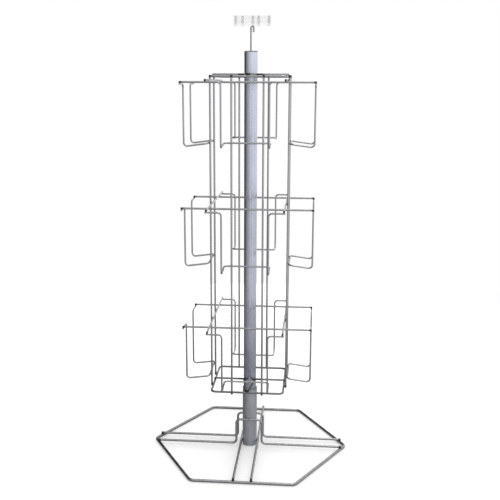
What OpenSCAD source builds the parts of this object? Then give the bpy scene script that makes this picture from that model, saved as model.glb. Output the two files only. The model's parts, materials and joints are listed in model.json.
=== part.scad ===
// Countertop spinner rack for postcards, bent and welded from steel wire.
// A hexagonal wire base carries a short socket tube. The rack's column stands in the
// socket and turns on it, with three tiers of four open wire pockets around it and
// a sign holder in its cap. Millimetres, Z up, the origin on the counter at the axis.

/* [Base] */
// Length of one side of the hexagonal floor ring
base_side = 148; // [120:1:220]
// Wire of the floor ring
base_wire_d = 4; // [3:0.1:6]
// Bend radius of the floor ring's corners
base_bend_r = 9; // [6:0.5:20]
// Wire of the cross wires and foot wires
cross_wire_d = 3.5; // [2.5:0.1:5]
// Rise of the hump that each cross wire makes at the socket
hump_rise = 39; // [25:1:60]
// Gap between a hump's uprights and the foot wires that pass under it
hump_gap = 3.35; // [1:0.05:8]
// Bend radius of the humps
hump_bend_r = 6; // [4:0.5:8]
// How far a cross wire or foot wire runs on past the floor ring
base_overhang = 1.5; // [0:0.5:5]

/* [Socket and bearing] */
// Wall of the socket tube
socket_wall = 0.9; // [0.6:0.1:2]
// Drop from the bottom ring to the bush's rim
mouth_drop = 11.5; // [5:0.5:25]
// Wall of the bush's sleeve between the column and the socket
bush_wall = 0.55; // [0.4:0.05:1.5]
// Thickness of the bush's flange on the socket's rim
bush_flange = 2; // [1:0.5:3]
// Length of the bush's sleeve inside the socket
bush_sleeve = 15; // [10:1:40]
// Height of the thrust plug in the bottom of the socket
thrust_h = 8; // [7:0.5:12]
// Diameter of the pivot under the column
pivot_d = 8; // [5:0.5:12]
// Length of the pivot under the column
pivot_l = 4; // [3:0.5:5]
// Running clearance of whatever turns in a bore, on the radius
turning_fit = 0.05; // [0.02:0.01:0.09]
// Gap at the end of whatever turns on a face
end_gap = 0.1; // [0.05:0.05:0.3]

/* [Column] */
// Outer diameter of the column tube
column_d = 19; // [16:0.5:25]
// Wall of the column tube
column_wall = 1.2; // [0.8:0.1:2]
// Height of the column's rim above the top ring
column_above_ring = 33.5; // [15:0.5:80]
// Flange of the column's foot plug
foot_flange = 2; // [1:0.5:4]
// Flange of the column's cap
cap_flange = 1.6; // [1:0.1:4]
// Length of the two plugs inside the column
plug_l = 14; // [8:1:25]
// Floor under the sign stem's hole in the cap
cap_floor = 2; // [1:0.5:5]
// Edge radius of the flanges that show
flange_edge_r = 0.6; // [0.2:0.1:0.9]

/* [Frame] */
// Height of the bottom ring above the counter
bottom_ring_z = 105.5; // [60:0.5:150]
// Distance from the axis to the sides of the two rings
ring_half = 53; // [48:0.5:70]
// Wire of the two rings
ring_wire_d = 3; // [2.5:0.1:4]
// Bend radius of the rings' corners
ring_bend_r = 7; // [5:0.5:15]
// Wire of the uprights and the rails
frame_wire_d = 2.8; // [2.4:0.1:3.5]
// Distance from a face's middle to each of its two uprights
upright_half_gap = 22; // [16:1:24]
// How far the uprights run on past the rings
upright_overhang = 2; // [1:0.5:4]
// Rise from the bottom ring to the lowest tier's rails
first_tier_rise = 101; // [92:0.5:130]
// Height from one tier to the next
tier_pitch = 173.5; // [120:0.5:220]
// Rise from the highest tier's rails to the top ring
top_ring_rise = 8; // [6:0.5:30]

/* [Braces] */
// Wire of the two braces
brace_wire_d = 2.8; // [2.4:0.1:3.5]
// Distance from the axis to the arms of a brace
brace_arm_y = 5; // [2:0.5:8]
// Bend radius of a brace beside the column
brace_bend_r = 4; // [3:0.5:6]
// Bend radius of a brace's apex on the ring
apex_bend_r = 2.5; // [2:0.1:4]
// How far a brace's arms run on past the ring
brace_overhang = 1.5; // [0:0.5:4]

/* [Pockets] */
// Wire of the pockets
pocket_wire_d = 2.5; // [2:0.1:3]
// Depth of a pocket, from its run at the uprights to its fingers
pocket_depth = 33.8; // [20:0.1:50]
// Height of a pocket, from its wings to its floor
pocket_h = 86.5; // [60:0.5:90]
// Distance from a pocket's middle to each of its two fingers
finger_half_gap = 32.3; // [30:0.1:42]
// Rise of a pocket's floor from the fingers to the run
floor_rise = 4.5; // [0:0.5:10]
// Bend radius of the pockets
pocket_bend_r = 5; // [3:0.5:7]
// How far a pocket's wings run on past the rails
wing_over = 0.5; // [0:0.1:3]

/* [Sign] */
// Wire of the sign stem
stem_d = 2.6; // [2.4:0.1:3.2]
// Height of the sign clip's underside above the cap
stem_reach = 33.8; // [20:0.1:80]
// Bend radius of the hook on the stem's end
hook_r = 1.9; // [1.5:0.1:3]
// Length of the hook's free leg
hook_leg = 6; // [4:0.5:15]
// Depth of the hook's seat in the clip
hook_seat = 1; // [0.5:0.1:1.5]
// Clearance of the hook in its seat
seat_fit = 0.05; // [0.02:0.01:0.2]
// Width of the sign clip
clip_w = 52.6; // [30:0.1:90]
// Height of the sign clip
clip_h = 14.1; // [10:0.1:25]
// Thickness of the sign clip
clip_t = 4.6; // [4.2:0.1:8]
// How far the clip's ribs stand proud of its jaws
clip_rib_proud = 0.4; // [0.2:0.1:1]

/* [Hidden] */
$fn = 48;

// The four faces follow one another round the axis, seen from above, from the front
SIDES = ["front", "right", "rear", "left"];
TIERS = ["low", "middle", "top"];
last_side = len(SIDES) - 1;
last_tier = len(TIERS) - 1;
side_turn = 360 / len(SIDES);
function upright_name(s, h) = str(SIDES[s], "_upright_", h);
function rail_name(t, s) = str(TIERS[t], "_", SIDES[s], "_rail");
function pocket_name(t, s) = str(TIERS[t], "_", SIDES[s], "_pocket");

// One overrun for every cut that runs out of a surface
cut_over = 1;
// Past a bend that isn't square, a straight starts this far back inside the bend,
// and is this much thinner on the radius, so that the two join in one solid
lap_l = 0.1;
lap_step = 0.02;

// Colours of the finishes
wire_colour = "silver";
tube_colour = "lightsteelblue";
socket_colour = "slategray";
nylon_colour = "whitesmoke";
clear_colour = "aliceblue";

// Socket and bearing: the bush fills the gap between the column and the socket
bush_bore = column_d + 2 * turning_fit;
socket_bore = bush_bore + 2 * bush_wall;
socket_d = socket_bore + 2 * socket_wall;
socket_h = bottom_ring_z - mouth_drop - bush_flange;
pivot_bore = pivot_d + 2 * turning_fit;
pivot_seat = pivot_l + 2 * end_gap;

// Base: the ring lies on the counter, and every other wire lies on top of it,
// against the socket
base_sides = 6;
base_turn = 360 / base_sides;
base_apothem = base_side * cos(base_turn / 2);
cross_z = base_wire_d + cross_wire_d / 2;
cross_y = (socket_d + cross_wire_d) / 2;
cross_end = base_side - cross_y * tan(90 - base_turn) + base_overhang;
foot_end = base_apothem + base_overhang;
hump_half = cross_y + cross_wire_d + hump_gap;

// Column
column_bore = column_d - 2 * column_wall;
foot_z = thrust_h + end_gap;
tube_z = foot_z + foot_flange;
top_tier_z = bottom_ring_z + first_tier_rise + last_tier * tier_pitch;
top_ring_z = top_tier_z + top_ring_rise;
column_top = top_ring_z + column_above_ring;
cap_top = column_top + cap_flange;
stem_foot_z = column_top - plug_l + cap_floor + end_gap;

// Frame: the uprights stand against the outside of both rings
upright_y = ring_half + (ring_wire_d + frame_wire_d) / 2;
upright_z = bottom_ring_z - upright_overhang;
upright_h = top_ring_z + upright_overhang - upright_z;

// Rails: the front and rear ones are welded to the outside of their uprights. The
// left and right ones lie on top of those, against the inside of their own uprights
outer_rail_y = upright_y + frame_wire_d;
inner_rail_y = upright_y - frame_wire_d;
run_y = upright_y + (frame_wire_d + pocket_wire_d) / 2;
finger_y = run_y + pocket_depth;
rail_end = finger_y + pocket_wire_d / 2;
wing_drop = (frame_wire_d + pocket_wire_d) / 2;

// Braces: each lies on its ring, touches the column with two bends, and has its
// apex on the ring's front
brace_rise = (ring_wire_d + brace_wire_d) / 2;
brace_end = ring_half + brace_overhang;
brace_touch = (column_d + brace_wire_d) / 2 + brace_bend_r;
brace_centre_y = brace_arm_y + brace_bend_r;
brace_centre_x = sqrt(pow(brace_touch, 2) - pow(brace_centre_y, 2));
brace_reach = ring_half - apex_bend_r - brace_centre_y;
brace_radii = brace_bend_r + apex_bend_r;
brace_leg = sqrt(pow(brace_centre_x, 2) + pow(brace_reach, 2) - pow(brace_radii, 2));
brace_angle = atan2(brace_reach, brace_centre_x) + atan2(brace_radii, brace_leg);

// Sign: the hook on the stem carries the clip
clip_z = cap_top + stem_reach;
hook_z = clip_z + hook_seat - seat_fit - stem_d / 2 - hook_r;
hook_seat_w = 2 * hook_r + stem_d + 2 * seat_fit;
hook_seat_t = stem_d + 2 * seat_fit;

// Outline of one jaw, as shares of half the clip's thickness and of its height:
// foot, waist and lip outside, then the mouth, grip and root of the slot inside
clip_jaw_shares = [
    [0.9, 0], [1, 0.05], [1, 0.3], [0.86, 0.4], [0.86, 0.8], [1, 1],
    [0.6, 1], [0.22, 0.84], [0.3, 0.74], [0.3, 0.32], [0.18, 0.26]
];
// Place and width of each of the clip's ribs, as shares of its width
clip_rib_shares = [
    [0.05, 0.03], [0.235, 0.03], [0.51, 0.07], [0.665, 0.03], [0.94, 0.03]
];
// Foot and head of the ribs, as shares of the clip's height
clip_rib_height_shares = [0.3, 0.9];

// A straight wire along X or Y, centred on the axis
module wire_x(d, half) {
    translate([-half, 0, 0])
    rotate([0, 90, 0])
    cylinder(h = 2 * half, d = d);
}
module wire_y(d, half) {
    rotate([0, 0, 90])
    wire_x(d, half);
}

// A straight past a bend that isn't square is lapped into it
function lap(angle) = angle % 90 == 0 ? 0 : lap_l;
function lapped(d, angle) = angle % 90 == 0 ? d : d - 2 * lap_step;

// A bend from +Z towards +X, about a centre one bend radius away
module bend(d, r, angle) {
    translate([r, 0, 0])
    rotate([90, 0, 180])
    rotate_extrude(angle = angle)
    translate([r, 0])
    circle(d = d);
}

// A wire bent step by step, as on a bending machine: each step feeds a straight
// length, turns the wire about itself and bends it by an angle to a bend radius,
// and the last step only feeds
module bent_wire(d, steps, i = 0, past = 0) {
    feed = steps[i][0];
    turn = steps[i][1];
    angle = steps[i][2];
    r = steps[i][3];
    translate([0, 0, -lap(past)])
    cylinder(h = feed + lap(past), d = lapped(d, past));
    if (i < len(steps) - 1)
        translate([0, 0, feed])
        rotate([0, 0, turn]) {
            bend(d, r, angle);
            translate([r * (1 - cos(angle)), 0, r * sin(angle)])
            rotate([0, angle, 0])
            bent_wire(d, steps, i + 1, angle);
        }
}

// A closed ring with straight sides and rounded corners, one side towards -Y
module wire_ring(d, sides, apothem, r) {
    turn = 360 / sides;
    corner = (apothem - r) * tan(turn / 2);
    for (k = [0 : sides - 1])
        rotate([0, 0, k * turn]) {
            translate([0, -apothem, 0])
            wire_x(lapped(d, turn), corner + lap(turn));
            translate([corner, r - apothem, 0])
            rotate([0, 0, -90])
            rotate_extrude(angle = turn)
            translate([r, 0])
            circle(d = d);
        }
}

// A disc with a rounded rim on top
module rounded_disc(d, h, r) {
    rotate_extrude() {
        square([d / 2 - r, h]);
        square([d / 2, h - r]);
        translate([d / 2 - r, h - r])
        intersection() {
            circle(r = r);
            square(r);
        }
    }
}

// Base
module base_ring() {
    color(wire_colour)
    translate([0, 0, base_wire_d / 2])
    wire_ring(base_wire_d, base_sides, base_apothem, base_bend_r);
}

// A cross wire from left to right, with a hump that clears the foot wires
module cross_wire(y) {
    low = cross_end - hump_half - hump_bend_r;
    rise = hump_rise - 2 * hump_bend_r;
    top = 2 * (hump_half - hump_bend_r);
    color(wire_colour)
    translate([-cross_end, y, cross_z])
    rotate([0, 90, 0])
    bent_wire(cross_wire_d, [
        [low, 180, 90, hump_bend_r],
        [rise, 180, 90, hump_bend_r],
        [top, 0, 90, hump_bend_r],
        [rise, 180, 90, hump_bend_r],
        [low, 0, 0, 0]
    ]);
}
module front_cross_wire() {
    cross_wire(-cross_y);
}
module rear_cross_wire() {
    cross_wire(cross_y);
}

// A foot wire from front to rear, against the side of the socket
module foot_wire(x) {
    color(wire_colour)
    translate([x, 0, cross_z])
    wire_y(cross_wire_d, foot_end);
}
module left_foot_wire() {
    foot_wire(-cross_y);
}
module right_foot_wire() {
    foot_wire(cross_y);
}

module base_socket() {
    color(socket_colour)
    difference() {
        cylinder(h = socket_h, d = socket_d);
        translate([0, 0, -cut_over])
        cylinder(h = socket_h + 2 * cut_over, d = socket_bore);
    }
}

// The plug that the column stands on, with a hole for its pivot
module thrust_plug() {
    color(nylon_colour)
    difference() {
        cylinder(h = thrust_h, d = socket_bore);
        translate([0, 0, thrust_h - pivot_seat])
        cylinder(h = pivot_seat + cut_over, d = pivot_bore);
    }
}

module socket_bush() {
    color(nylon_colour)
    difference() {
        union() {
            translate([0, 0, socket_h - bush_sleeve])
            cylinder(h = bush_sleeve, d = socket_bore);
            translate([0, 0, socket_h])
            rounded_disc(socket_d, bush_flange, flange_edge_r);
        }
        translate([0, 0, socket_h - bush_sleeve - cut_over])
        cylinder(h = bush_sleeve + bush_flange + 2 * cut_over, d = bush_bore);
    }
}

// Column
module column_tube() {
    color(tube_colour)
    translate([0, 0, tube_z])
    difference() {
        cylinder(h = column_top - tube_z, d = column_d);
        translate([0, 0, -cut_over])
        cylinder(h = column_top - tube_z + 2 * cut_over, d = column_bore);
    }
}

module column_foot_plug() {
    color(nylon_colour)
    translate([0, 0, foot_z]) {
        translate([0, 0, -pivot_l])
        cylinder(h = pivot_l, d = pivot_d);
        cylinder(h = foot_flange, d = column_d);
        translate([0, 0, foot_flange])
        cylinder(h = plug_l, d = column_bore);
    }
}

// The cap, with a blind hole for the sign stem
module column_cap() {
    hole = plug_l + cap_flange - cap_floor;
    color(nylon_colour)
    difference() {
        union() {
            translate([0, 0, column_top - plug_l])
            cylinder(h = plug_l, d = column_bore);
            translate([0, 0, column_top])
            rounded_disc(column_d, cap_flange, flange_edge_r);
        }
        translate([0, 0, cap_top - hole])
        cylinder(h = hole + cut_over, d = stem_d + 2 * turning_fit);
    }
}

// Frame
module frame_ring(z) {
    color(wire_colour)
    translate([0, 0, z])
    wire_ring(ring_wire_d, len(SIDES), ring_half, ring_bend_r);
}
module bottom_ring() {
    frame_ring(bottom_ring_z);
}
module top_ring() {
    frame_ring(top_ring_z);
}

// A brace across a ring, bent round the column, with its apex on the ring's front
module brace(ring_z) {
    arm = brace_end - brace_centre_x;
    color(wire_colour)
    translate([-brace_end, -brace_arm_y, ring_z + brace_rise])
    rotate([-90, 0, 0])
    rotate([0, 90, 0])
    bent_wire(brace_wire_d, [
        [arm, 0, brace_angle, brace_bend_r],
        [brace_leg, 180, 2 * brace_angle, apex_bend_r],
        [brace_leg, 180, brace_angle, brace_bend_r],
        [arm, 0, 0, 0]
    ]);
}
module bottom_brace() {
    brace(bottom_ring_z);
}
module top_brace() {
    brace(top_ring_z);
}

// The left or right one of a face's two uprights
module upright(s, h) {
    x = h == 1 ? -upright_half_gap : upright_half_gap;
    color(wire_colour)
    rotate([0, 0, s * side_turn])
    translate([x, -upright_y, upright_z])
    cylinder(h = upright_h, d = frame_wire_d);
}

// Tiers: where a tier's rail on one face lies
function rail_z(t, s) =
    bottom_ring_z + first_tier_rise + t * tier_pitch + (s % 2) * frame_wire_d;
function rail_y(s) = s % 2 == 0 ? outer_rail_y : inner_rail_y;

module rail(t, s) {
    color(wire_colour)
    rotate([0, 0, s * side_turn])
    translate([0, -rail_y(s), rail_z(t, s)])
    wire_x(frame_wire_d, rail_end);
}

// A pocket bent from one wire: wing, finger, floor, run, floor, finger and wing.
// Its wings hang under the rails of the next faces, and its run is welded to the
// face's two uprights
module pocket(t, s) {
    wing_end = rail_y(s + 1) + frame_wire_d / 2 + wing_over;
    slope = atan(floor_rise / pocket_depth);
    low_bend = 90 + slope;
    low_tangent = pocket_bend_r * tan(low_bend / 2);
    wing = wing_end - finger_half_gap - pocket_bend_r;
    finger = pocket_h - pocket_bend_r - low_tangent;
    floor_run = pocket_depth / cos(slope) - low_tangent - pocket_bend_r;
    back_run = 2 * (finger_half_gap - pocket_bend_r);
    color(wire_colour)
    rotate([0, 0, s * side_turn])
    translate([-wing_end, -finger_y, rail_z(t, s + 1) - wing_drop])
    rotate([0, 90, 0])
    bent_wire(pocket_wire_d, [
        [wing, 0, 90, pocket_bend_r],
        [finger, 90, low_bend, pocket_bend_r],
        [floor_run, 90, 90, pocket_bend_r],
        [back_run, 0, 90, pocket_bend_r],
        [floor_run, -90, low_bend, pocket_bend_r],
        [finger, -90, 90, pocket_bend_r],
        [wing, 0, 0, 0]
    ]);
}

// Sign
module sign_stem() {
    color(wire_colour)
    translate([0, 0, stem_foot_z])
    bent_wire(stem_d, [
        [hook_z - stem_foot_z, 0, 180, hook_r],
        [hook_leg, 0, 0, 0]
    ]);
}

// The clip, with a slot for a card on top and a seat for the hook below
module sign_clip() {
    jaw = [for (p = clip_jaw_shares) [p[0] * clip_t / 2, p[1] * clip_h]];
    far_jaw = [for (i = [len(jaw) - 1 : -1 : 0]) [-jaw[i][0], jaw[i][1]]];
    rib_low = clip_rib_height_shares[0] * clip_h;
    rib_high = clip_rib_height_shares[1] * clip_h;
    rib_t = clip_t + 2 * clip_rib_proud;
    color(clear_colour)
    translate([hook_r - clip_w / 2, 0, clip_z])
    difference() {
        union() {
            rotate([90, 0, 90])
            linear_extrude(height = clip_w)
            polygon(concat(jaw, far_jaw));
            difference() {
                for (rib = clip_rib_shares)
                    translate([(rib[0] - rib[1] / 2) * clip_w, -rib_t / 2, rib_low])
                    cube([rib[1] * clip_w, rib_t, rib_high - rib_low]);
                translate([-cut_over, -clip_t / 4, 0])
                cube([clip_w + 2 * cut_over, clip_t / 2, clip_h]);
            }
        }
        translate([(clip_w - hook_seat_w) / 2, -hook_seat_t / 2, -cut_over])
        cube([hook_seat_w, hook_seat_t, hook_seat + cut_over]);
    }
}

base_ring();
front_cross_wire();
rear_cross_wire();
left_foot_wire();
right_foot_wire();
base_socket();
thrust_plug();
socket_bush();
column_tube();
column_foot_plug();
column_cap();
bottom_ring();
top_ring();
bottom_brace();
top_brace();
for (s = [0 : last_side], h = [1, 2])
    upright(s, h);
for (t = [0 : last_tier], s = [0 : last_side]) {
    rail(t, s);
    pocket(t, s);
}
sign_stem();
sign_clip();
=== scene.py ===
"""Looks for a countertop postcard spinner rack: finishes, welds, stage and camera."""
import json
import math

import bmesh
import bpy
from mathutils import Matrix, Vector, noise


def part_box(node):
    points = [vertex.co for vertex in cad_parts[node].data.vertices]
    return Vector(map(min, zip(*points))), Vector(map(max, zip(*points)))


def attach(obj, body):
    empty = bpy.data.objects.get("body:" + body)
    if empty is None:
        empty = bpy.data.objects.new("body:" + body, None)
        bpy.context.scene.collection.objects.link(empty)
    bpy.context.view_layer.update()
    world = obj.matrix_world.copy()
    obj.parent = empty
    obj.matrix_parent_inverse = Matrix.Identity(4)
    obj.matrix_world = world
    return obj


bl_info = {
    "name": "Postcard Spinner Rack",
    "version": (1, 0, 0),
    "blender": (4, 5, 0),
    "location": "3D View > Sidebar > Spinner Rack",
    "description": "Finishes, welds and a photo stage for a wire postcard spinner rack",
    "category": "Object",
}

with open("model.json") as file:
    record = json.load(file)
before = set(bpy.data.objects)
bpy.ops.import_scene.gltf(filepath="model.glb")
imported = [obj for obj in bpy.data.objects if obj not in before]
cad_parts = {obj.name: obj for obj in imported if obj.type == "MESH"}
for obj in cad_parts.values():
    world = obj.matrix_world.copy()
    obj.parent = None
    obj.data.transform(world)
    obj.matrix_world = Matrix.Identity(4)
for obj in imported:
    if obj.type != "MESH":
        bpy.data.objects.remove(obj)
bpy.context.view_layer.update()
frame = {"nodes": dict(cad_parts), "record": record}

NODES = frame["nodes"]
SLOT_OF = {part["node"]: part["material_slot"] for part in frame["record"]["subparts"]}
SIDES = ("front", "right", "rear", "left")
TIERS = ("low", "middle", "top")
UP = Vector((0.0, 0.0, 1.0))

WHITE = (1.0, 1.0, 1.0, 1.0)
BLACK = (0.0, 0.0, 0.0, 1.0)
EVEN = (1.0, 1.0, 1.0)
# Where soft noise begins to make a patch, and where the patch is full.
PATCH_EDGES = (0.3, 0.7)
# The scale along a wire that draws noise out into a line.
DRAWN_OUT = 0.02
# A wire is straight if its box is this near to square across.
ROUND_ENOUGH = 1.05
# Where the clip's ribs stand, as shares of its width.
RIB_SHARES = (0.05, 0.235, 0.51, 0.665, 0.94)


def nodes_in_slot(slot):
    """The names of the CAD nodes that have one of the record's finishes."""
    return [name for name in NODES if SLOT_OF[name] == slot]


def middle(node):
    """The middle of a CAD node's box."""
    low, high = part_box(node)
    return (low + high) / 2


def thickness(node):
    """The diameter of a straight wire, which is its box's least extent."""
    low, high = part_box(node)
    return min(high - low)


def colour4(colour):
    """A colour with a full alpha, as a shader's socket takes it."""
    return (*colour, 1.0)


def tinted(colour, share):
    """A colour made lighter by a share of itself, or darker where the share is negative."""
    return tuple(min(1.0, part * (1.0 + share)) for part in colour)


class Field:
    """A socket in a shader's node tree. Python's operators on it add Math nodes."""

    def __init__(self, tree, socket=None):
        self.tree = tree
        self.socket = socket

    def node(self, kind, settings=None, inputs=None, output=0):
        """Adds a node, sets its settings, fills or links its sockets and returns an output."""
        made = self.tree.nodes.new(kind)
        for name, value in (settings or {}).items():
            setattr(made, name, value)
        for name, value in (inputs or {}).items():
            if isinstance(value, Field):
                self.tree.links.new(value.socket, made.inputs[name])
            else:
                made.inputs[name].default_value = value
        return Field(self.tree, made.outputs[output])

    def calc(self, operation, first, second=0.0):
        """A Math node on one or two values or fields."""
        return self.node("ShaderNodeMath", {"operation": operation}, {0: first, 1: second})

    def __add__(self, other):
        return self.calc("ADD", self, other)

    def __sub__(self, other):
        return self.calc("SUBTRACT", self, other)

    def __rsub__(self, other):
        return self.calc("SUBTRACT", other, self)

    def __mul__(self, other):
        return self.calc("MULTIPLY", self, other)

    __radd__ = __add__
    __rmul__ = __mul__

    def between(self, low, high):
        """This field's rise from 0 at low to 1 at high, with soft ends."""
        return self.node(
            "ShaderNodeMapRange",
            {"interpolation_type": "SMOOTHSTEP"},
            {"Value": self, "From Min": low, "From Max": high},
        )

    def mix(self, first, second):
        """A colour that goes from first to second as this field goes from 0 to 1."""
        sockets = {0: self, 6: first, 7: second}
        return self.node("ShaderNodeMix", {"data_type": "RGBA"}, sockets, 2)

    def shades(self, colour, first, second):
        """A colour whose tint goes from first to second as this field goes from 0 to 1."""
        return self.mix(colour4(tinted(colour, first)), colour4(tinted(colour, second)))

    def capped(self):
        """This field, at most 1."""
        return self.calc("MINIMUM", self, 1.0)

    def axis(self, number):
        """This vector's part along X, Y or Z, by number."""
        return self.node("ShaderNodeSeparateXYZ", inputs={0: self}, output=number)


def rays(field):
    """The camera's, mirrored and transmitted rays, each as a field that is 1 or 0."""
    camera, glossy, through = (
        field.node("ShaderNodeLightPath", output=name)
        for name in ("Is Camera Ray", "Is Glossy Ray", "Is Transmission Ray")
    )
    return camera, glossy * (1.0 - through), through


def lit_side(field, across, deep):
    """How bright the room is that way: from 0, behind on the left, to 1, on the right."""
    darkest, brightest = -2.3, 0.6
    return field.calc("ARCTAN2", across, 0.0 - deep).between(darkest, brightest)


class Finish:
    """A new material with one Principled shader, whose sockets are set or fed by name."""

    def __init__(self, name, **constants):
        self.material = bpy.data.materials.new(name)
        self.material.use_nodes = True
        tree = self.material.node_tree
        self.shader = tree.nodes["Principled BSDF"]
        self.field = Field(tree)
        for name, value in constants.items():
            self.input(name).default_value = value

    def input(self, name):
        """The shader's socket of this name, with spaces for its underscores."""
        return self.shader.inputs[name.replace("_", " ")]

    def feed(self, **fields):
        """Links fields to the shader's sockets."""
        for name, field in fields.items():
            self.field.tree.links.new(field.socket, self.input(name))

    def place(self):
        """The piece's own coordinates."""
        return self.field.node("ShaderNodeTexCoord", output="Object")

    def stretched(self, scale=EVEN):
        """The piece's own coordinates, scaled along X, Y and Z."""
        return self.field.node(
            "ShaderNodeMapping", inputs={"Vector": self.place(), "Scale": scale}
        )

    def noise(self, place, size, detail=2.0, rough=0.5):
        """Soft noise whose spots are about one size across, in metres."""
        return self.field.node(
            "ShaderNodeTexNoise",
            inputs={
                "Vector": place, "Scale": 1.0 / size, "Detail": detail, "Roughness": rough,
            },
        )

    def bump(self, height, depth):
        """A normal from a height field, in metres of depth."""
        return self.field.node("ShaderNodeBump", inputs={"Distance": depth, "Height": height})

    def give(self, obj):
        """Makes this the only material of an object."""
        obj.data.materials.clear()
        obj.data.materials.append(self.material)

    def dress(self, slot):
        """Gives this to every CAD node that has one of the record's finishes."""
        for name in nodes_in_slot(slot):
            self.give(NODES[name])


def add_piece(context, name, mesh):
    """Turns a bmesh into a piece of the scene."""
    data = bpy.data.meshes.new(name)
    mesh.to_mesh(data)
    mesh.free()
    piece = bpy.data.objects.new(name, data)
    context.scene.collection.objects.link(piece)
    return piece


class WireLooks(bpy.types.PropertyGroup):
    """Bright zinc plate on drawn steel wire."""

    colour: bpy.props.FloatVectorProperty(
        name="Zinc colour", description="Colour of the plated wire", subtype="COLOR",
        size=3, min=0.0, max=1.0, default=(0.50, 0.505, 0.515),
    )
    roughness: bpy.props.FloatProperty(
        name="Roughness", description="Roughness of the plate", min=0.05, max=1.0, default=0.26
    )
    spangle: bpy.props.FloatProperty(
        name="Spangle", description="Size of the plate's cloudy patches", unit="LENGTH",
        min=0.001, max=0.05, default=0.007,
    )
    die_line: bpy.props.FloatProperty(
        name="Die lines", description="Spacing of the drawing lines round the wire",
        unit="LENGTH", min=0.0001, max=0.002, default=0.0005,
    )
    # How far along a straight wire or cross wire it grows darker towards each end.
    dark_end_reach: bpy.props.FloatProperty(
        name="Cut ends", description="How far the dull tone of a cut end reaches along a wire",
        unit="LENGTH", min=0.0005, max=0.02, default=0.005,
    )
    # The colour a wire's ends darken to; a brace's middle takes it too, as painted shade where
    # it meets the column.
    end_and_brace_shade_colour: bpy.props.FloatVectorProperty(
        name="Cut colour", description="Colour of a wire's cut and welded end", subtype="COLOR",
        size=3, min=0.0, max=1.0, default=(0.07, 0.068, 0.068),
    )
    # Painted shade: a darker colour that stands in for the dim light on the bottom ring and
    # bottom brace.
    bottom_shade_colour: bpy.props.FloatVectorProperty(
        name="Dull colour", description="Colour of the duller bottom ring and bottom brace",
        subtype="COLOR", size=3, min=0.0, max=1.0, default=(0.27, 0.272, 0.278),
    )
    # Painted shade: a brace is darkened this far either side of its middle, where it wraps
    # round the column.
    brace_shade_reach: bpy.props.FloatProperty(
        name="Scorch", description="How far from the middle the welding has scorched a brace",
        unit="LENGTH", min=0.001, max=0.05, default=0.017,
    )


class TubeLooks(bpy.types.PropertyGroup):
    """The turning column and the dull socket that it stands in."""

    column_colour: bpy.props.FloatVectorProperty(
        name="Column colour", description="Colour of the glossy column", subtype="COLOR",
        size=3, min=0.0, max=1.0, default=(0.665, 0.69, 0.805),
    )
    column_roughness: bpy.props.FloatProperty(
        name="Column roughness", description="Roughness of the column", min=0.02, max=1.0,
        default=0.20,
    )
    socket_colour: bpy.props.FloatVectorProperty(
        name="Socket colour", description="Colour of the dull socket", subtype="COLOR",
        size=3, min=0.0, max=1.0, default=(0.64, 0.665, 0.72),
    )
    socket_roughness: bpy.props.FloatProperty(
        name="Socket roughness", description="Roughness of the socket", min=0.05, max=1.0,
        default=0.42,
    )
    nylon_colour: bpy.props.FloatVectorProperty(
        name="Nylon colour", description="Colour of the bush and the plugs", subtype="COLOR",
        size=3, min=0.0, max=1.0, default=(0.22, 0.22, 0.225),
    )


class ClipLooks(bpy.types.PropertyGroup):
    """The clear sign clip."""

    colour: bpy.props.FloatVectorProperty(
        name="Clip colour", description="Tint of the clear plastic", subtype="COLOR",
        size=3, min=0.0, max=1.0, default=(0.985, 0.985, 0.985),
    )
    rib_colour: bpy.props.FloatVectorProperty(
        name="Rib colour", description="Tint of the frosted ribs", subtype="COLOR",
        size=3, min=0.0, max=1.0, default=(0.80, 0.80, 0.80),
    )
    rib: bpy.props.FloatProperty(
        name="Rib reach", description="Half the width of a rib's frosted band",
        unit="LENGTH", min=0.0005, max=0.01, default=0.0026,
    )
    bend: bpy.props.FloatProperty(
        name="IOR", description="How strongly the plastic bends light", min=1.0, max=2.0,
        default=1.25,
    )
    roughness: bpy.props.FloatProperty(
        name="Roughness", description="Roughness of the clip", min=0.0, max=1.0, default=0.08
    )
    clearness: bpy.props.FloatProperty(
        name="Transmission", description="How much light the plastic lets through",
        min=0.0, max=1.0, default=0.92,
    )


class WeldLooks(bpy.types.PropertyGroup):
    """The small nuggets of the resistance welds."""

    squeeze: bpy.props.FloatProperty(
        name="Squeeze", description="Reach of a nugget, as a share of the wire's radius",
        min=0.5, max=1.6, default=1.22,
    )
    unevenness: bpy.props.FloatProperty(
        name="Unevenness", description="Unevenness of a nugget, as a share of its size",
        min=0.0, max=0.5, default=0.16,
    )
    pocket_wire: bpy.props.FloatProperty(
        name="Pocket wire", description="Diameter of the pockets' wire", unit="LENGTH",
        min=0.001, max=0.01, default=0.0025,
    )
    run_drop: bpy.props.FloatProperty(
        name="Run drop", description="Height from a pocket's back wire up to its wings",
        unit="LENGTH", min=0.01, max=0.3, default=0.082,
    )
    colour: bpy.props.FloatVectorProperty(
        name="Weld colour", description="Colour of the plated welds", subtype="COLOR",
        size=3, min=0.0, max=1.0, default=(0.09, 0.085, 0.085),
    )


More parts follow.
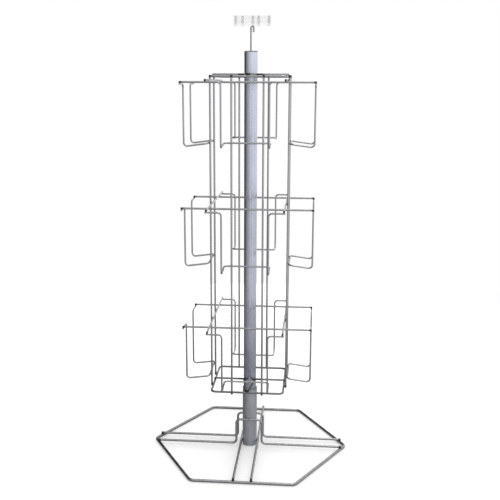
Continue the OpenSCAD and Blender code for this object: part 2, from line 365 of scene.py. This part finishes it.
class StageLooks(bpy.types.PropertyGroup):
    """The floor, the lamps and the camera."""

    floor_colour: bpy.props.FloatVectorProperty(
        name="Floor colour", description="Colour of the floor", subtype="COLOR",
        size=3, min=0.0, max=1.0, default=(0.95, 0.95, 0.95),
    )
    floor_size: bpy.props.FloatProperty(
        name="Floor size", description="Diameter of the floor", unit="LENGTH",
        min=0.3, max=60.0, default=2.0,
    )
    fill: bpy.props.FloatProperty(
        name="Fill light", description="Strength of the light from all round", min=0.0, max=2.0,
        default=0.80,
    )
    room_left: bpy.props.FloatProperty(
        name="Left of the room", description="How bright metal sees the room on the left",
        min=0.0, max=1.0, default=0.0,
    )
    room_right: bpy.props.FloatProperty(
        name="Right of the room", description="How bright metal sees the room on the right",
        min=0.0, max=1.0, default=1.0,
    )
    fall_above: bpy.props.FloatProperty(
        name="Dark above", description="How much darker the room is above eye level",
        min=0.0, max=1.0, default=0.35,
    )
    fall_below: bpy.props.FloatProperty(
        name="Dark below", description="How much darker the room is below eye level",
        min=0.0, max=1.0, default=0.60,
    )
    lift: bpy.props.FloatProperty(
        name="Paper white", description="Extra white of the floor where it is seen",
        min=0.0, max=0.5, default=0.16,
    )
    gloom: bpy.props.FloatProperty(
        name="Gloom", description="How much darker metal mirrors the floor on the lit side",
        min=0.0, max=0.9, default=0.66,
    )
    gloom_left: bpy.props.FloatProperty(
        name="Gloom behind",
        description="How much darker metal mirrors the floor behind on the left",
        min=0.0, max=0.9, default=0.87,
    )
    key: bpy.props.FloatProperty(
        name="Key light", description="Power of the soft lamp overhead", unit="POWER",
        min=0.0, max=200.0, default=5.0,
    )
    back: bpy.props.FloatProperty(
        name="Back light", description="Power of the soft lamp behind the rack", unit="POWER",
        min=0.0, max=200.0, default=14.0,
    )
    lens: bpy.props.FloatProperty(
        name="Lens", description="Focal length on a 36 mm sensor", subtype="DISTANCE_CAMERA",
        min=10.0, max=200.0, default=56.34,
    )
    distance: bpy.props.FloatProperty(
        name="Distance", description="Distance from the camera to its target", unit="LENGTH",
        min=0.3, max=10.0, default=1.1635,
    )
    target_height: bpy.props.FloatProperty(
        name="Target height", description="Height that the camera aims at", unit="LENGTH",
        min=0.0, max=1.0, default=0.3096,
    )
    azimuth: bpy.props.FloatProperty(
        name="Azimuth", description="Turn of the camera to the right of the front",
        unit="ROTATION", default=math.radians(4.8),
    )
    elevation: bpy.props.FloatProperty(
        name="Elevation", description="Height of the camera above the target",
        unit="ROTATION", default=math.radians(12.06),
    )
    roll: bpy.props.FloatProperty(
        name="Roll", description="Roll of the camera", unit="ROTATION",
        default=math.radians(0.2),
    )


class RackLooks(bpy.types.PropertyGroup):
    """Everything about the rack's looks that a user can change."""

    wire: bpy.props.PointerProperty(type=WireLooks)
    tube: bpy.props.PointerProperty(type=TubeLooks)
    clip: bpy.props.PointerProperty(type=ClipLooks)
    weld: bpy.props.PointerProperty(type=WeldLooks)
    stage: bpy.props.PointerProperty(type=StageLooks)


def wire_finish(name, looks, drawn, ends, dull, brace):
    """Zinc plate with cloudy patches, lines along a straight wire, ends that grow darker,
    painted shade on a brace's middle, and painted shade on the bottom ring and bottom brace as
    a darker colour.
    """
    # The bottom ring and bottom brace take a darker colour, which is painted shade.
    colour = looks.bottom_shade_colour if dull else looks.colour
    finish = Finish(name, Metallic=1.0)
    even = finish.stretched()
    cloud = finish.noise(even, looks.spangle, detail=3.0, rough=0.55).between(*PATCH_EDGES)
    grain = finish.noise(even, looks.spangle / 9, rough=0.6)
    if drawn:
        along = list(EVEN)
        along[ends[0]] = DRAWN_OUT
        lines = finish.noise(finish.stretched(tuple(along)), looks.die_line, rough=0.6)
    else:
        lines = finish.noise(even, looks.die_line * 1.6, rough=0.6)
    plate = (cloud * 0.6 + grain * 0.25 + lines * 0.15).shades(colour, -0.09, 0.07)
    rough = looks.roughness + (lines - 0.5) * 0.14 + (cloud - 0.5) * 0.08
    dark = colour4(looks.end_and_brace_shade_colour)
    # A straight wire or cross wire grows darker towards each end.
    if ends:
        axis, start, stop = ends
        off = finish.field.calc("ABSOLUTE", finish.place().axis(axis) - (start + stop) / 2)
        half, ragged = (stop - start) / 2, 0.001
        darkened = (off + grain * ragged).between(
            half - looks.dark_end_reach, half - looks.dark_end_reach * 0.3
        )
        plate = darkened.mix(plate, dark)
        rough = rough + darkened * 0.2
    # Painted shade on a brace's middle, where it wraps round the column.
    if brace:
        off = finish.field.calc("ABSOLUTE", finish.place().axis(0))
        fade, ragged = 0.004, 0.002
        out_of_brace_shade = (off + grain * ragged).between(looks.brace_shade_reach, looks.brace_shade_reach + fade)
        plate = out_of_brace_shade.mix(dark, plate)
    finish.feed(
        Base_Color=plate,
        Roughness=rough,
        Normal=finish.bump(lines * 0.7 + grain * 0.3, depth=0.000012),
    )
    return finish


class RACK_OT_wires(bpy.types.Operator):
    """Gives every wire its zinc plate, with lines and dark ends on the straight ones"""

    bl_idname = "rack.wires"
    bl_label = "Finish the wires"

    def execute(self, context):
        looks = context.scene.rack_looks.wire
        finishes = {}
        for name in nodes_in_slot("wire"):
            low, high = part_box(name)
            extent = high - low
            along = max(range(3), key=lambda axis: extent[axis])
            others = [extent[axis] for axis in range(3) if axis != along]
            drawn = max(others) < ROUND_ENOUGH * min(others)
            ends = None
            if drawn or name.endswith("cross_wire"):
                ends = (along, round(low[along], 4), round(high[along], 4))
            # The bottom ring and bottom brace get the darker colour of painted shade; braces
            # get painted shade at their middles.
            kind = (drawn, ends, name.startswith("bottom_"), name.endswith("_brace"))
            if kind not in finishes:
                label = f"zinc_wire_{len(finishes) + 1}"
                finishes[kind] = wire_finish(label, looks, *kind)
            finishes[kind].give(NODES[name])
        return {"FINISHED"}


class RACK_OT_tubes(bpy.types.Operator):
    """Gives the column its glossy plate and the socket a duller one"""

    bl_idname = "rack.tubes"
    bl_label = "Finish the tubes"

    def execute(self, context):
        looks = context.scene.rack_looks.tube
        column = Finish("glossy_column_plate", Metallic=1.0)
        polished = column.stretched((1.0, 1.0, 0.012))
        polish = column.noise(polished, size=0.0006, detail=3.0, rough=0.6)
        hazy = column.stretched((1.0, 1.0, 0.4))
        haze = column.noise(hazy, size=0.020, detail=3.0, rough=0.55).between(*PATCH_EDGES)
        speck = column.noise(column.stretched(), size=0.0011, detail=1.0).between(0.66, 0.74)
        gloss = looks.column_roughness + (polish - 0.5) * 0.08
        column.feed(
            Base_Color=(haze * 0.7 + polish * 0.3).shades(looks.column_colour, -0.13, 0.10),
            Roughness=gloss + haze * 0.05 + speck * 0.1,
            Normal=column.bump(polish, depth=0.000008),
        )
        column.dress("column")
        socket = Finish("dull_socket_plate", Metallic=1.0)
        grain = socket.noise(socket.stretched(), size=0.0009, detail=3.0, rough=0.6)
        cloudy = socket.stretched((1.0, 1.0, 0.5))
        cloud = socket.noise(cloudy, size=0.011, detail=3.0, rough=0.6).between(*PATCH_EDGES)
        drawn = socket.noise(socket.stretched((1.0, 1.0, DRAWN_OUT)), size=0.0007, rough=0.6)
        socket.feed(
            Base_Color=(cloud * 0.6 + drawn * 0.4).shades(looks.socket_colour, -0.14, 0.12),
            Roughness=looks.socket_roughness + (drawn - 0.5) * 0.14 + (cloud - 0.5) * 0.1,
            Normal=socket.bump(grain * 0.5 + drawn * 0.5, depth=0.00003),
        )
        socket.dress("socket")
        return {"FINISHED"}


class RACK_OT_plugs(bpy.types.Operator):
    """Gives the bush, the thrust plug and the column's plugs their moulded nylon"""

    bl_idname = "rack.plugs"
    bl_label = "Finish the nylon plugs"

    def execute(self, context):
        looks = context.scene.rack_looks.tube
        nylon = Finish("moulded_nylon", Specular_IOR_Level=0.45)
        flow = nylon.noise(nylon.stretched((1.0, 1.0, 2.0)), size=0.006)
        grain = nylon.noise(nylon.stretched(), size=0.0004, rough=0.6)
        nylon.feed(
            Base_Color=flow.shades(looks.nylon_colour, -0.1, 0.1),
            Roughness=0.42 + (grain - 0.5) * 0.16,
            Normal=nylon.bump(grain, depth=0.00002),
        )
        nylon.dress("nylon")
        return {"FINISHED"}


class RACK_OT_clip(bpy.types.Operator):
    """Gives the sign clip its clear plastic, with faint extrusion lines"""

    bl_idname = "rack.clip"
    bl_label = "Finish the sign clip"

    def execute(self, context):
        looks = context.scene.rack_looks.clip
        low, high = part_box("sign_clip")
        clear = Finish(
            "clear_clip_plastic", IOR=looks.bend, Transmission_Weight=looks.clearness
        )
        across = clear.place().axis(0)
        ribs = 0.0
        for share in RIB_SHARES:
            off = across - (low.x + share * (high.x - low.x))
            ribs = ribs + (1.0 - (off * off).between(0.0, looks.rib ** 2))
        ribs = ribs.capped()
        lines = clear.noise(clear.stretched((DRAWN_OUT, 1.0, 1.0)), size=0.0005, rough=0.6)
        haze = clear.noise(clear.stretched(), size=0.006)
        tint = haze.shades(looks.colour, -0.02, 0.0)
        clear.feed(
            Base_Color=ribs.mix(tint, colour4(looks.rib_colour)),
            Roughness=looks.roughness + lines * 0.08 + ribs * 0.3,
            Normal=clear.bump(lines, depth=0.00001),
        )
        clear.dress("clip")
        return {"FINISHED"}


def rack_contacts(pocket_wire, run_drop):
    """Each welded place on the rack: its point, the joint's normal and the wire's radius."""
    found = []

    def weld(point, normal, radius):
        found.append((Vector(point), normal.normalized(), radius))

    wire_r = thickness("front_upright_1") / 2
    pocket_r = pocket_wire / 2
    post = middle("front_upright_2")
    outer = -middle("low_front_rail").y
    inner = middle("low_right_rail").x
    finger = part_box("low_right_rail")[1].y - pocket_r
    inside = post.y + wire_r
    outside = post.y - wire_r
    for quarter, side in enumerate(SIDES):
        turn = Matrix.Rotation(math.radians(90 * quarter), 3, "Z")
        out = turn @ Vector((0, -1, 0))
        low_rails = side in ("front", "rear")
        behind = outside if low_rails else inside
        for x in (-post.x, post.x):
            for ring in ("bottom_ring", "top_ring"):
                weld(turn @ Vector((x, inside, middle(ring).z)), out, wire_r)
            for tier in TIERS:
                rail_z = middle(f"{tier}_{side}_rail").z
                run_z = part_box(f"{tier}_{side}_pocket")[1].z - pocket_r - run_drop
                weld(turn @ Vector((x, behind, rail_z)), out, wire_r)
                weld(turn @ Vector((x, outside, run_z)), out, pocket_r)
        for tier in TIERS:
            wing_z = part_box(f"{tier}_{side}_pocket")[1].z
            across = inner if low_rails else outer
            for x in (-across, across):
                weld(turn @ Vector((x, -finger, wing_z)), UP, pocket_r)
                if low_rails:
                    rail_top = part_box(f"{tier}_{side}_rail")[1].z
                    weld(turn @ Vector((x, -outer, rail_top)), UP, wire_r)
    column_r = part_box("column_tube")[1].x - middle("column_tube").x
    # The way from the column's axis to where a brace touches it.
    touch_x, touch_y = 0.797, -0.604
    for level in ("bottom", "top"):
        low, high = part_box(level + "_brace")
        ring_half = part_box(level + "_ring")[1].y - thickness(level + "_ring") / 2
        weld((0, -ring_half, low.z), UP, wire_r)
        for way in (-1, 1):
            weld((way * ring_half, high.y - wire_r, low.z), UP, wire_r)
            out = Vector((way * touch_x, touch_y, 0))
            weld(out * column_r + UP * (low.z + wire_r), out, wire_r)
    return found


def base_contacts():
    """Each welded place on the base, in the same way."""
    found = []
    ring_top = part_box("base_ring")[1].z
    wire_r = thickness("left_foot_wire") / 2
    # How far a weld sits in from the end of its wire.
    from_end = 0.0019
    for name, axis in (
        ("front_cross_wire", 0),
        ("rear_cross_wire", 0),
        ("left_foot_wire", 1),
        ("right_foot_wire", 1),
    ):
        low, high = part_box(name)
        other = 1 - axis
        place = low[other] + wire_r if low[other] > 0 else high[other] - wire_r
        for end in (low[axis] + from_end, high[axis] - from_end):
            point = Vector((end, end, ring_top))
            point[other] = place
            found.append((point, UP, wire_r))
        out = Vector((0, 0, 0))
        out[other] = math.copysign(1, place)
        found.append((out * (abs(place) - wire_r) + UP * (high.z - wire_r), out, wire_r))
    return found


class RACK_OT_welds(bpy.types.Operator):
    """Adds the small uneven nuggets where the wires are welded together"""

    bl_idname = "rack.welds"
    bl_label = "Add the welds"

    def execute(self, context):
        looks = context.scene.rack_looks.weld
        weld = Finish("plated_weld", Metallic=1.0)
        grain = weld.noise(weld.stretched(), size=0.0007, detail=3.0, rough=0.65)
        weld.feed(
            Base_Color=grain.shades(looks.colour, -0.25, 0.15),
            Roughness=0.34 + grain * 0.2,
            Normal=weld.bump(grain, depth=0.00008),
        )
        # Each nugget takes its lumps from another stretch of the same noise.
        flatness, lump_scale, lump_step = 0.62, 1.7, 3.7
        for body, contacts in (
            ("base", base_contacts()),
            ("rack", rack_contacts(looks.pocket_wire, looks.run_drop)),
        ):
            mesh = bmesh.new()
            for count, (point, normal, radius) in enumerate(contacts):
                reach = radius * looks.squeeze
                size = Matrix.Diagonal((reach, reach, reach * flatness, 1.0))
                turn = normal.to_track_quat("Z", "Y").to_matrix().to_4x4()
                place = Matrix.Translation(point) @ turn
                shift = Vector((count * lump_step, 0, 0))
                made = bmesh.ops.create_icosphere(mesh, subdivisions=2, radius=1.0)
                for v in made["verts"]:
                    lump = noise.noise(v.co * lump_scale + shift)
                    v.co = place @ (size @ (v.co * (1.0 + looks.unevenness * lump)))
            piece = add_piece(context, body + "_welds", mesh)
            faces = piece.data.polygons
            faces.foreach_set("use_smooth", [True] * len(faces))
            weld.give(piece)
            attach(piece, body)
        return {"FINISHED"}


def make_floor(context, looks):
    """The pale floor, which metal mirrors darker than the camera sees it."""
    mesh = bmesh.new()
    bmesh.ops.create_circle(mesh, cap_ends=True, radius=looks.floor_size / 2, segments=96)
    floor = add_piece(context, "studio_floor", mesh)
    paper = Finish("floor_paper", Specular_IOR_Level=0.1, Emission_Strength=1.0)
    fibre = paper.noise(paper.stretched(), size=0.002, rough=0.6)
    camera, mirror, through = rays(paper.field)
    place = paper.place()
    along_x, along_y = place.axis(0), place.axis(1)
    lit = lit_side(paper.field, along_x, along_y)
    # Distances from the column are squared here.
    reach = along_x * along_x + along_y * along_y
    far = reach.between(0.12, (looks.floor_size / 2) ** 2)
    at_foot = 1.0 - reach.between(0.001, 0.018)
    gloomy = mirror * (1.0 - 0.8 * far * lit) * (1.0 - 0.22 * at_foot)
    plain = fibre.shades(looks.floor_colour, -0.005, 0.0)
    murk = lit.shades(looks.floor_colour, -looks.gloom_left, -looks.gloom)
    seen = (camera + through).capped()
    paper.feed(
        Base_Color=gloomy.mix(plain, murk),
        Roughness=0.85 + fibre * 0.1,
        Emission_Color=seen.mix(BLACK, (*[looks.lift] * 3, 1.0)),
    )
    paper.give(floor)


def make_world(context, looks):
    """White surroundings, which metal mirrors as a room that is dark behind on the left."""
    world = bpy.data.worlds.new("white_studio")
    context.scene.world = world
    world.use_nodes = True
    tree = world.node_tree
    tree.nodes.clear()
    field = Field(tree)
    camera, mirror, through = rays(field)
    way = field.node("ShaderNodeTexCoord", output="Generated")
    across, deep, high = way.axis(0), way.axis(1), way.axis(2)
    # Each pair of edges is a height or a depth of the ray's direction, from -1 to 1.
    low_edges, upper_edges = (-0.5, 0.05), (0.1, 0.5)
    backdrop_edges, ceiling_edges = (0.85, 0.97), (0.85, 0.98)
    lit = lit_side(field, across, deep)
    room = looks.room_left + (looks.room_right - looks.room_left) * lit
    room = room * (1.0 - looks.fall_below * (1.0 - high.between(*low_edges)))
    room = room * (1.0 - looks.fall_above * high.between(*upper_edges))
    off_backdrop = 1.0 - deep.between(*backdrop_edges)
    off_ceiling = 1.0 - high.between(*ceiling_edges)
    dim = off_backdrop * off_ceiling * (1.0 - room)
    colour = mirror.mix(WHITE, dim.mix(WHITE, BLACK))
    light = field.node("ShaderNodeBackground", inputs={"Color": WHITE, "Strength": looks.fill})
    seen = field.node("ShaderNodeBackground", inputs={"Color": colour, "Strength": 1.0})
    shown = (camera + mirror + through).capped()
    both = field.node("ShaderNodeMixShader", inputs={0: shown, 1: light, 2: seen})
    out = tree.nodes.new("ShaderNodeOutputWorld")
    tree.links.new(both.socket, out.inputs["Surface"])


def make_lamps(context, looks):
    """The soft lamps overhead and behind the rack."""
    target = Vector((0.0, 0.0, 0.25))
    for name, place, size, power, mirrored in (
        ("overhead_softbox", (0.35, -0.1, 1.9), (0.9, 0.6), looks.key, True),
        ("backdrop_softbox", (0.1, 1.9, 1.0), (1.8, 0.9), looks.back, False),
    ):
        lamp = bpy.data.lights.new(name, "AREA")
        lamp.shape = "RECTANGLE"
        lamp.size, lamp.size_y = size
        lamp.energy = power
        box = bpy.data.objects.new(name, lamp)
        box.location = place
        box.rotation_euler = (target - box.location).to_track_quat("-Z", "Y").to_euler()
        box.visible_camera = False
        box.visible_transmission = False
        box.visible_glossy = mirrored
        context.scene.collection.objects.link(box)


class RACK_OT_stage(bpy.types.Operator):
    """Sets the pale floor, the white surroundings and the soft lamps"""

    bl_idname = "rack.stage"
    bl_label = "Set the stage"

    def execute(self, context):
        looks = context.scene.rack_looks.stage
        make_floor(context, looks)
        make_world(context, looks)
        make_lamps(context, looks)
        return {"FINISHED"}


class RACK_OT_camera(bpy.types.Operator):
    """Places the camera where the photograph was taken"""

    bl_idname = "rack.camera"
    bl_label = "Place the camera"

    def execute(self, context):
        looks = context.scene.rack_looks.stage
        data = bpy.data.cameras.new("photo_camera")
        data.sensor_width = 36.0
        data.lens = looks.lens
        data.clip_start = 0.05
        data.clip_end = 100.0
        camera = bpy.data.objects.new("photo_camera", data)
        aside = -0.0005
        target = Vector((aside, 0.0, looks.target_height))
        turn, rise = looks.azimuth, looks.elevation
        back = Vector((
            math.sin(turn) * math.cos(rise),
            -math.cos(turn) * math.cos(rise),
            math.sin(rise),
        ))
        camera.location = target + back * looks.distance
        roll = Matrix.Rotation(looks.roll, 3, "Z")
        aim = (-back).to_track_quat("-Z", "Y").to_matrix() @ roll
        camera.rotation_euler = aim.to_euler()
        context.scene.collection.objects.link(camera)
        context.scene.camera = camera
        context.scene.view_settings.view_transform = "Standard"
        return {"FINISHED"}


class RACK_PT_looks(bpy.types.Panel):
    """The rack's looks and the operators that build them"""

    bl_label = "Spinner Rack"
    bl_idname = "RACK_PT_looks"
    bl_space_type = "VIEW_3D"
    bl_region_type = "UI"
    bl_category = "Spinner Rack"

    def draw(self, context):
        looks = context.scene.rack_looks
        for title, group in (
            ("Wires", looks.wire),
            ("Tubes and plugs", looks.tube),
            ("Sign clip", looks.clip),
            ("Welds", looks.weld),
            ("Stage and camera", looks.stage),
        ):
            box = self.layout.box()
            box.label(text=title)
            for name in group.bl_rna.properties.keys():
                if name not in ("rna_type", "name"):
                    box.prop(group, name)
        for operator in STEPS:
            self.layout.operator(operator.bl_idname)


STEPS = (
    RACK_OT_camera,
    RACK_OT_wires,
    RACK_OT_tubes,
    RACK_OT_plugs,
    RACK_OT_clip,
    RACK_OT_welds,
    RACK_OT_stage,
)
CLASSES = (
    WireLooks, TubeLooks, ClipLooks, WeldLooks, StageLooks, RackLooks, *STEPS, RACK_PT_looks,
)


def register():
    for cls in CLASSES:
        bpy.utils.register_class(cls)
    bpy.types.Scene.rack_looks = bpy.props.PointerProperty(type=RackLooks)


def unregister():
    del bpy.types.Scene.rack_looks
    for cls in reversed(CLASSES):
        bpy.utils.unregister_class(cls)


def main():
    register()
    bpy.ops.rack.camera()
    bpy.ops.rack.wires()
    bpy.ops.rack.tubes()
    bpy.ops.rack.plugs()
    bpy.ops.rack.clip()
    bpy.ops.rack.welds()
    bpy.ops.rack.stage()


if __name__ == "__main__":
    main()
